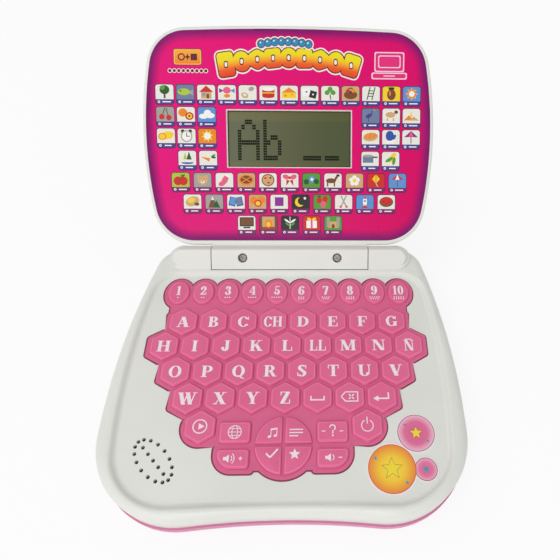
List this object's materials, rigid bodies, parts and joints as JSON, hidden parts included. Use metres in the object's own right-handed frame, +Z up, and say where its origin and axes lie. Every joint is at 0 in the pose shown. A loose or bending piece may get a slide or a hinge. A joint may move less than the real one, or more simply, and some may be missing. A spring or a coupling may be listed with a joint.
{
  "type": "toy laptop computer",
  "caption": "Toy laptop with a hinged lid holding a printed panel and small display, and a base with hexagonal letter keys, number keys, menu disc and speaker holes.",
  "frame": {"origin": "on the floor plane, under the middle of the base", "axes": "+X to the right of the person typing, +Y from that person to the hinge, +Z up"},
  "size_m": [0.2226, 0.3066, 0.1365],
  "materials": {
    "white_shell": "satin white moulded plastic",
    "pink_shell": "satin pink moulded plastic",
    "silicone": "soft pink silicone",
    "panel_print": "printed sheet, satin",
    "display": "olive grey display glass",
    "circuit_board": "green board",
    "speaker_frame": "dark metal and paper",
    "cell_wrap": "plain wrapped cells",
    "steel": "plain steel",
    "print": "printed sticker, satin"
  },
  "bodies": {
    "base": {"base_top_shell": "white_shell", "base_bottom_shell": "pink_shell", "keypad_web": "silicone", "main_board": "circuit_board", "speaker": "speaker_frame", "battery_door": "pink_shell", "aa_cells": "cell_wrap", "battery_contacts": "steel", "case_screws": "steel", "hinge_pins": "steel", "deck_sticker": "print"},
    "lid": {"lid_front_shell": "white_shell", "lid_back_shell": "pink_shell", "front_panel": "panel_print", "lcd_panel": "display", "lcd_board": "circuit_board", "lid_screws": "steel"},
    "key_a": {"key_a": "silicone"},
    "key_b": {"key_b": "silicone"},
    "key_c": {"key_c": "silicone"},
    "key_ch": {"key_ch": "silicone"},
    "key_d": {"key_d": "silicone"},
    "key_e": {"key_e": "silicone"},
    "key_f": {"key_f": "silicone"},
    "key_g": {"key_g": "silicone"},
    "key_h": {"key_h": "silicone"},
    "key_i": {"key_i": "silicone"},
    "key_j": {"key_j": "silicone"},
    "key_k": {"key_k": "silicone"},
    "key_l": {"key_l": "silicone"},
    "key_ll": {"key_ll": "silicone"},
    "key_m": {"key_m": "silicone"},
    "key_n": {"key_n": "silicone"},
    "key_enye": {"key_enye": "silicone"},
    "key_o": {"key_o": "silicone"},
    "key_p": {"key_p": "silicone"},
    "key_q": {"key_q": "silicone"},
    "key_r": {"key_r": "silicone"},
    "key_s": {"key_s": "silicone"},
    "key_t": {"key_t": "silicone"},
    "key_u": {"key_u": "silicone"},
    "key_v": {"key_v": "silicone"},
    "key_w": {"key_w": "silicone"},
    "key_x": {"key_x": "silicone"},
    "key_y": {"key_y": "silicone"},
    "key_z": {"key_z": "silicone"},
    "key_space": {"key_space": "silicone"},
    "key_clear": {"key_clear": "silicone"},
    "key_enter": {"key_enter": "silicone"},
    "key_demo": {"key_demo": "silicone"},
    "key_power": {"key_power": "silicone"},
    "key_language": {"key_language": "silicone"},
    "key_help": {"key_help": "silicone"},
    "key_volume_up": {"key_volume_up": "silicone"},
    "key_volume_down": {"key_volume_down": "silicone"},
    "key_menu_a": {"key_menu_a": "silicone"},
    "key_menu_b": {"key_menu_b": "silicone"},
    "key_menu_c": {"key_menu_c": "silicone"},
    "key_menu_d": {"key_menu_d": "silicone"},
    "number_keys": {"number_keys": "silicone"}
  },
  "joints": [
    {"name": "lid_hinge", "type": "hinge", "parent": "base", "child": "lid", "pos_m": [0, 0.0884, 0.0313], "axis": [1, 0, 0], "range_deg": [0, 139]},
    {"name": "key_a_press", "type": "slide", "parent": "base", "child": "key_a", "axis": [0, 0, 1], "range_m": [-0.0012, 0], "stiffness_N_per_m": 250, "springref_m": 0.0005},
    {"name": "key_b_press", "type": "slide", "parent": "base", "child": "key_b", "axis": [0, 0, 1], "range_m": [-0.0012, 0], "stiffness_N_per_m": 250, "springref_m": 0.0005},
    {"name": "key_c_press", "type": "slide", "parent": "base", "child": "key_c", "axis": [0, 0, 1], "range_m": [-0.0012, 0], "stiffness_N_per_m": 250, "springref_m": 0.0005},
    {"name": "key_ch_press", "type": "slide", "parent": "base", "child": "key_ch", "axis": [0, 0, 1], "range_m": [-0.0012, 0], "stiffness_N_per_m": 250, "springref_m": 0.0005},
    {"name": "key_d_press", "type": "slide", "parent": "base", "child": "key_d", "axis": [0, 0, 1], "range_m": [-0.0012, 0], "stiffness_N_per_m": 250, "springref_m": 0.0005},
    {"name": "key_e_press", "type": "slide", "parent": "base", "child": "key_e", "axis": [0, 0, 1], "range_m": [-0.0012, 0], "stiffness_N_per_m": 250, "springref_m": 0.0005},
    {"name": "key_f_press", "type": "slide", "parent": "base", "child": "key_f", "axis": [0, 0, 1], "range_m": [-0.0012, 0], "stiffness_N_per_m": 250, "springref_m": 0.0005},
    {"name": "key_g_press", "type": "slide", "parent": "base", "child": "key_g", "axis": [0, 0, 1], "range_m": [-0.0012, 0], "stiffness_N_per_m": 250, "springref_m": 0.0005},
    {"name": "key_h_press", "type": "slide", "parent": "base", "child": "key_h", "axis": [0, 0, 1], "range_m": [-0.0012, 0], "stiffness_N_per_m": 250, "springref_m": 0.0005},
    {"name": "key_i_press", "type": "slide", "parent": "base", "child": "key_i", "axis": [0, 0, 1], "range_m": [-0.0012, 0], "stiffness_N_per_m": 250, "springref_m": 0.0005},
    {"name": "key_j_press", "type": "slide", "parent": "base", "child": "key_j", "axis": [0, 0, 1], "range_m": [-0.0012, 0], "stiffness_N_per_m": 250, "springref_m": 0.0005},
    {"name": "key_k_press", "type": "slide", "parent": "base", "child": "key_k", "axis": [0, 0, 1], "range_m": [-0.0012, 0], "stiffness_N_per_m": 250, "springref_m": 0.0005},
    {"name": "key_l_press", "type": "slide", "parent": "base", "child": "key_l", "axis": [0, 0, 1], "range_m": [-0.0012, 0], "stiffness_N_per_m": 250, "springref_m": 0.0005},
    {"name": "key_ll_press", "type": "slide", "parent": "base", "child": "key_ll", "axis": [0, 0, 1], "range_m": [-0.0012, 0], "stiffness_N_per_m": 250, "springref_m": 0.0005},
    {"name": "key_m_press", "type": "slide", "parent": "base", "child": "key_m", "axis": [0, 0, 1], "range_m": [-0.0012, 0], "stiffness_N_per_m": 250, "springref_m": 0.0005},
    {"name": "key_n_press", "type": "slide", "parent": "base", "child": "key_n", "axis": [0, 0, 1], "range_m": [-0.0012, 0], "stiffness_N_per_m": 250, "springref_m": 0.0005},
    {"name": "key_enye_press", "type": "slide", "parent": "base", "child": "key_enye", "axis": [0, 0, 1], "range_m": [-0.0012, 0], "stiffness_N_per_m": 250, "springref_m": 0.0005},
    {"name": "key_o_press", "type": "slide", "parent": "base", "child": "key_o", "axis": [0, 0, 1], "range_m": [-0.0012, 0], "stiffness_N_per_m": 250, "springref_m": 0.0005},
    {"name": "key_p_press", "type": "slide", "parent": "base", "child": "key_p", "axis": [0, 0, 1], "range_m": [-0.0012, 0], "stiffness_N_per_m": 250, "springref_m": 0.0005},
    {"name": "key_q_press", "type": "slide", "parent": "base", "child": "key_q", "axis": [0, 0, 1], "range_m": [-0.0012, 0], "stiffness_N_per_m": 250, "springref_m": 0.0005},
    {"name": "key_r_press", "type": "slide", "parent": "base", "child": "key_r", "axis": [0, 0, 1], "range_m": [-0.0012, 0], "stiffness_N_per_m": 250, "springref_m": 0.0005},
    {"name": "key_s_press", "type": "slide", "parent": "base", "child": "key_s", "axis": [0, 0, 1], "range_m": [-0.0012, 0], "stiffness_N_per_m": 250, "springref_m": 0.0005},
    {"name": "key_t_press", "type": "slide", "parent": "base", "child": "key_t", "axis": [0, 0, 1], "range_m": [-0.0012, 0], "stiffness_N_per_m": 250, "springref_m": 0.0005},
    {"name": "key_u_press", "type": "slide", "parent": "base", "child": "key_u", "axis": [0, 0, 1], "range_m": [-0.0012, 0], "stiffness_N_per_m": 250, "springref_m": 0.0005},
    {"name": "key_v_press", "type": "slide", "parent": "base", "child": "key_v", "axis": [0, 0, 1], "range_m": [-0.0012, 0], "stiffness_N_per_m": 250, "springref_m": 0.0005},
    {"name": "key_w_press", "type": "slide", "parent": "base", "child": "key_w", "axis": [0, 0, 1], "range_m": [-0.0012, 0], "stiffness_N_per_m": 250, "springref_m": 0.0005},
    {"name": "key_x_press", "type": "slide", "parent": "base", "child": "key_x", "axis": [0, 0, 1], "range_m": [-0.0012, 0], "stiffness_N_per_m": 250, "springref_m": 0.0005},
    {"name": "key_y_press", "type": "slide", "parent": "base", "child": "key_y", "axis": [0, 0, 1], "range_m": [-0.0012, 0], "stiffness_N_per_m": 250, "springref_m": 0.0005},
    {"name": "key_z_press", "type": "slide", "parent": "base", "child": "key_z", "axis": [0, 0, 1], "range_m": [-0.0012, 0], "stiffness_N_per_m": 250, "springref_m": 0.0005},
    {"name": "key_space_press", "type": "slide", "parent": "base", "child": "key_space", "axis": [0, 0, 1], "range_m": [-0.0012, 0], "stiffness_N_per_m": 250, "springref_m": 0.0005},
    {"name": "key_clear_press", "type": "slide", "parent": "base", "child": "key_clear", "axis": [0, 0, 1], "range_m": [-0.0012, 0], "stiffness_N_per_m": 250, "springref_m": 0.0005},
    {"name": "key_enter_press", "type": "slide", "parent": "base", "child": "key_enter", "axis": [0, 0, 1], "range_m": [-0.0012, 0], "stiffness_N_per_m": 250, "springref_m": 0.0005},
    {"name": "key_demo_press", "type": "slide", "parent": "base", "child": "key_demo", "axis": [0, 0, 1], "range_m": [-0.0012, 0], "stiffness_N_per_m": 250, "springref_m": 0.0005},
    {"name": "key_power_press", "type": "slide", "parent": "base", "child": "key_power", "axis": [0, 0, 1], "range_m": [-0.0012, 0], "stiffness_N_per_m": 250, "springref_m": 0.0005},
    {"name": "key_language_press", "type": "slide", "parent": "base", "child": "key_language", "axis": [0, 0, 1], "range_m": [-0.0012, 0], "stiffness_N_per_m": 250, "springref_m": 0.0005},
    {"name": "key_help_press", "type": "slide", "parent": "base", "child": "key_help", "axis": [0, 0, 1], "range_m": [-0.0012, 0], "stiffness_N_per_m": 250, "springref_m": 0.0005},
    {"name": "key_volume_up_press", "type": "slide", "parent": "base", "child": "key_volume_up", "axis": [0, 0, 1], "range_m": [-0.0012, 0], "stiffness_N_per_m": 250, "springref_m": 0.0005},
    {"name": "key_volume_down_press", "type": "slide", "parent": "base", "child": "key_volume_down", "axis": [0, 0, 1], "range_m": [-0.0012, 0], "stiffness_N_per_m": 250, "springref_m": 0.0005},
    {"name": "key_menu_a_press", "type": "slide", "parent": "base", "child": "key_menu_a", "axis": [0, 0, 1], "range_m": [-0.0012, 0], "stiffness_N_per_m": 250, "springref_m": 0.0005},
    {"name": "key_menu_b_press", "type": "slide", "parent": "base", "child": "key_menu_b", "axis": [0, 0, 1], "range_m": [-0.0012, 0], "stiffness_N_per_m": 250, "springref_m": 0.0005},
    {"name": "key_menu_c_press", "type": "slide", "parent": "base", "child": "key_menu_c", "axis": [0, 0, 1], "range_m": [-0.0012, 0], "stiffness_N_per_m": 250, "springref_m": 0.0005},
    {"name": "key_menu_d_press", "type": "slide", "parent": "base", "child": "key_menu_d", "axis": [0, 0, 1], "range_m": [-0.0012, 0], "stiffness_N_per_m": 250, "springref_m": 0.0005},
    {"name": "number_keys_press", "type": "slide", "parent": "base", "child": "number_keys", "axis": [0, 0, 1], "range_m": [-0.0012, 0], "stiffness_N_per_m": 1200, "springref_m": 0.0005}
  ]
}
